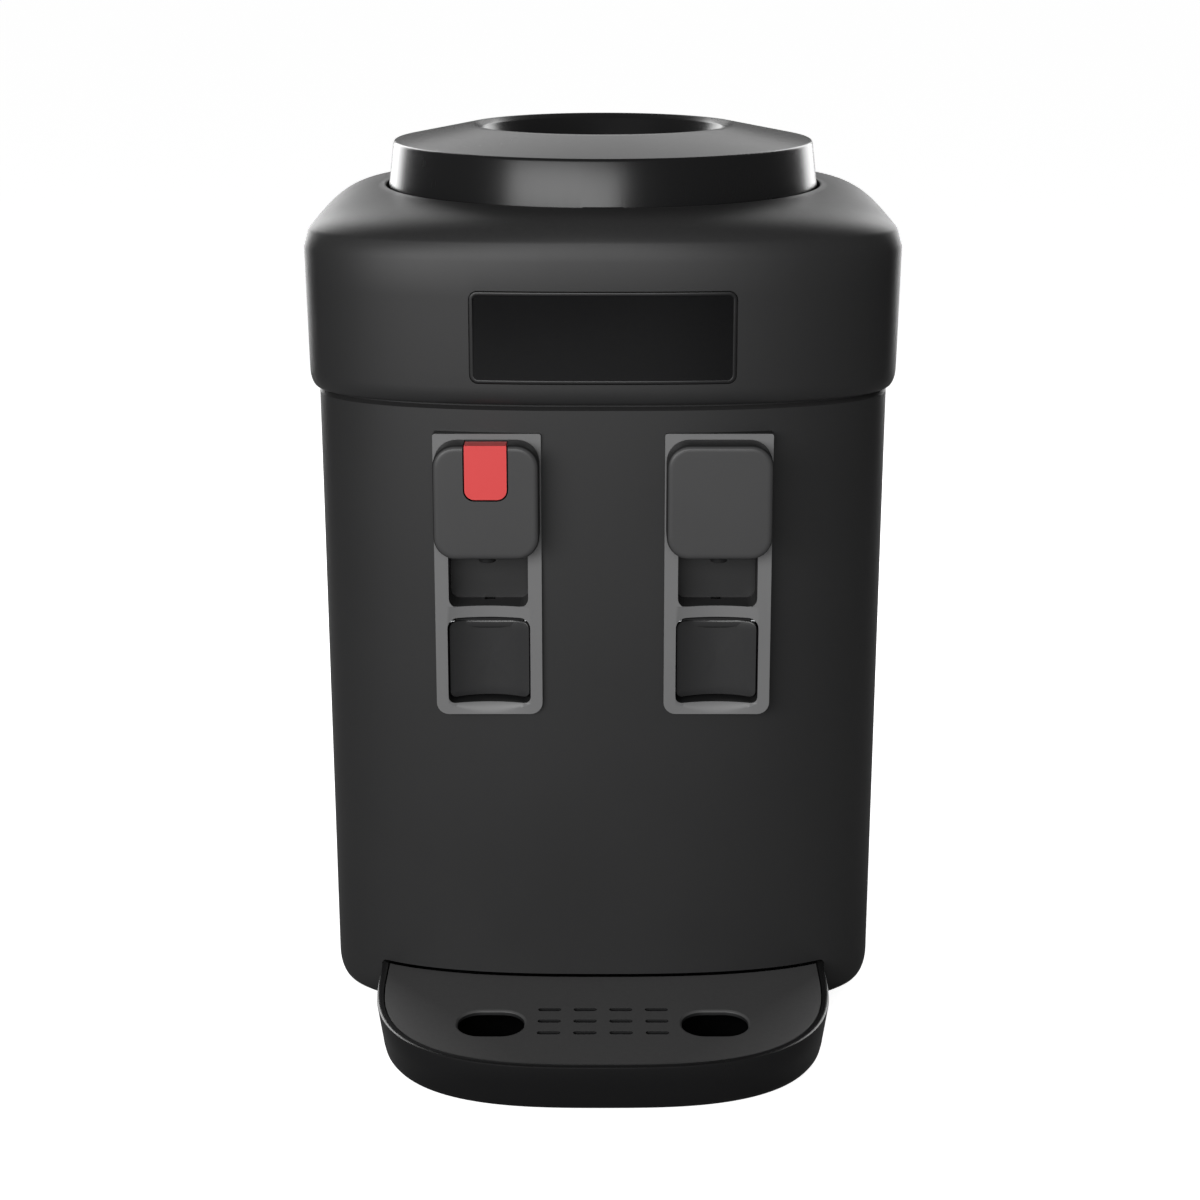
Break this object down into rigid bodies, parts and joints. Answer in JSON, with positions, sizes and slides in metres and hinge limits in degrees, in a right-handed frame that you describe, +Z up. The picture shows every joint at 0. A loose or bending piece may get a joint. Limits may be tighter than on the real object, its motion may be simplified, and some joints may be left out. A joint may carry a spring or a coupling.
{
  "type": "bottled water dispenser",
  "caption": "Black countertop hot and cold water dispenser with a lift-off bottle collar on a domed head, two cup-push taps, a red child lock and a projecting drip tray.",
  "frame": {"origin": "on the surface that the feet stand on, at the middle of the whole object's footprint, with the drip tray pushed in", "axes": "+Z up, -Y towards the taps and the drip tray, +X to the right of someone facing the taps"},
  "size_m": [0.2968, 0.3564, 0.446],
  "materials": {
    "housing_black": "fine satin texture, moulded ABS",
    "gloss_black": "polished",
    "tap_grey": "satin",
    "cover_grey": "satin",
    "paddle_black": "semi-gloss",
    "lock_red": "satin",
    "rubber": "matt",
    "stainless_steel": "brushed",
    "zinc_sheet": "spangled zinc",
    "aluminium": "extruded",
    "white_foam": "expanded bead foam",
    "tank_plastic": "natural polypropylene",
    "white_ceramic": "matt",
    "silicone": "translucent",
    "circuit_board": "solder mask",
    "mica": "mica in a steel band",
    "black_plastic": "moulded nylon",
    "switch_green": "gloss"
  },
  "bodies": {
    "cabinet": {"back_panel": "housing_black", "base_pan": "black_plastic", "body_shell": "housing_black", "child_lock_spring": "stainless_steel", "cold_outlet_tube": "silicone", "cold_paddle_pin": "stainless_steel", "cold_plate": "aluminium", "cold_stem_spring": "stainless_steel", "cold_tank": "tank_plastic", "cold_tap_cover": "cover_grey", "cold_tap_frame": "tap_grey", "cold_valve_body": "black_plastic", "control_board": "circuit_board", "cool_switch_housing": "black_plastic", "cord_gland": "rubber", "drain_fitting": "tank_plastic", "drain_tube": "silicone", "fan_frame": "black_plastic", "foot_front_left": "rubber", "foot_front_right": "rubber", "foot_rear_left": "rubber", "foot_rear_right": "rubber", "head_shell": "housing_black", "heat_sink": "aluminium", "heat_switch_housing": "black_plastic", "heater_band": "mica", "hot_feed_tube": "silicone", "hot_outlet_tube": "silicone", "hot_paddle_pin": "stainless_steel", "hot_stem_spring": "stainless_steel", "hot_tank": "stainless_steel", "hot_tank_stand": "zinc_sheet", "hot_tap_cover": "cover_grey", "hot_tap_frame": "tap_grey", "hot_thermostat": "black_plastic", "hot_valve_body": "black_plastic", "name_badge": "gloss_black", "panel_screw_lower_left": "stainless_steel", "panel_screw_lower_right": "stainless_steel", "panel_screw_upper_left": "stainless_steel", "panel_screw_upper_right": "stainless_steel", "peltier_module": "white_ceramic", "power_supply": "zinc_sheet", "tank_jacket_left": "white_foam", "tank_jacket_right": "white_foam", "tank_shelf": "zinc_sheet", "thermal_cutout": "white_ceramic"},
    "collar": {"bottle_collar": "gloss_black"},
    "tray": {"drip_tray": "gloss_black"},
    "grille": {"drip_grille": "housing_black"},
    "hot_paddle": {"hot_paddle": "paddle_black"},
    "cold_paddle": {"cold_paddle": "paddle_black"},
    "hot_stem": {"hot_stem": "white_ceramic"},
    "cold_stem": {"cold_stem": "white_ceramic"},
    "child_lock": {"child_lock_tab": "lock_red"},
    "fan": {"fan_rotor": "black_plastic"},
    "heat_rocker": {"heat_switch_rocker": "lock_red"},
    "cool_rocker": {"cool_switch_rocker": "switch_green"},
    "drain_cap": {"drain_cap": "black_plastic"}
  },
  "joints": [
    {"name": "collar_lift", "type": "slide", "parent": "cabinet", "child": "collar", "axis": [0, 0, 1], "range_m": [0, 0.07]},
    {"name": "tray_slide", "type": "slide", "parent": "cabinet", "child": "tray", "axis": [0, -1, 0], "range_m": [0, 0.055]},
    {"name": "grille_lift", "type": "slide", "parent": "tray", "child": "grille", "axis": [0, 0, 1], "range_m": [0, 0.03]},
    {"name": "hot_paddle_push", "type": "hinge", "parent": "cabinet", "child": "hot_paddle", "pos_m": [-0.056, -0.07575, 0.2115], "axis": [1, 0, 0], "range_deg": [0, 8], "stiffness_Nm_per_rad": 0.42, "springref_deg": -2.16},
    {"name": "hot_stem_travel", "type": "slide", "parent": "cabinet", "child": "hot_stem", "axis": [0, -1, 0], "range_m": [0, 0.0074], "deforming": ["hot_stem_spring"]},
    {"name": "cold_paddle_push", "type": "hinge", "parent": "cabinet", "child": "cold_paddle", "pos_m": [0.056, -0.07575, 0.2115], "axis": [1, 0, 0], "range_deg": [0, 8], "stiffness_Nm_per_rad": 0.42, "springref_deg": -2.16},
    {"name": "cold_stem_travel", "type": "slide", "parent": "cabinet", "child": "cold_stem", "axis": [0, -1, 0], "range_m": [0, 0.0074], "deforming": ["cold_stem_spring"]},
    {"name": "child_lock_press", "type": "slide", "parent": "cabinet", "child": "child_lock", "axis": [0, 1, 0], "range_m": [0, 0.003], "stiffness_N_per_m": 120, "springref_m": -0.002, "deforming": ["child_lock_spring"]},
    {"name": "fan_spin", "type": "hinge", "parent": "cabinet", "child": "fan", "pos_m": [0, 0.15225, 0.266], "axis": [0, 1, 0], "continuous": true},
    {"name": "heat_switch_rock", "type": "hinge", "parent": "cabinet", "child": "heat_rocker", "pos_m": [0.08, 0.16225, 0.284], "axis": [1, 0, 0], "range_deg": [-14, 0]},
    {"name": "cool_switch_rock", "type": "hinge", "parent": "cabinet", "child": "cool_rocker", "pos_m": [0.08, 0.16225, 0.254], "axis": [1, 0, 0], "range_deg": [-14, 0]},
    {"name": "drain_cap_pull", "type": "slide", "parent": "cabinet", "child": "drain_cap", "axis": [0, 1, 0], "range_m": [0, 0.03]}
  ],
  "couplings": [
    {"joint": "hot_stem_travel", "follows": "hot_paddle_push", "m_per_rad": 0.053},
    {"joint": "cold_stem_travel", "follows": "cold_paddle_push", "m_per_rad": 0.053}
  ]
}
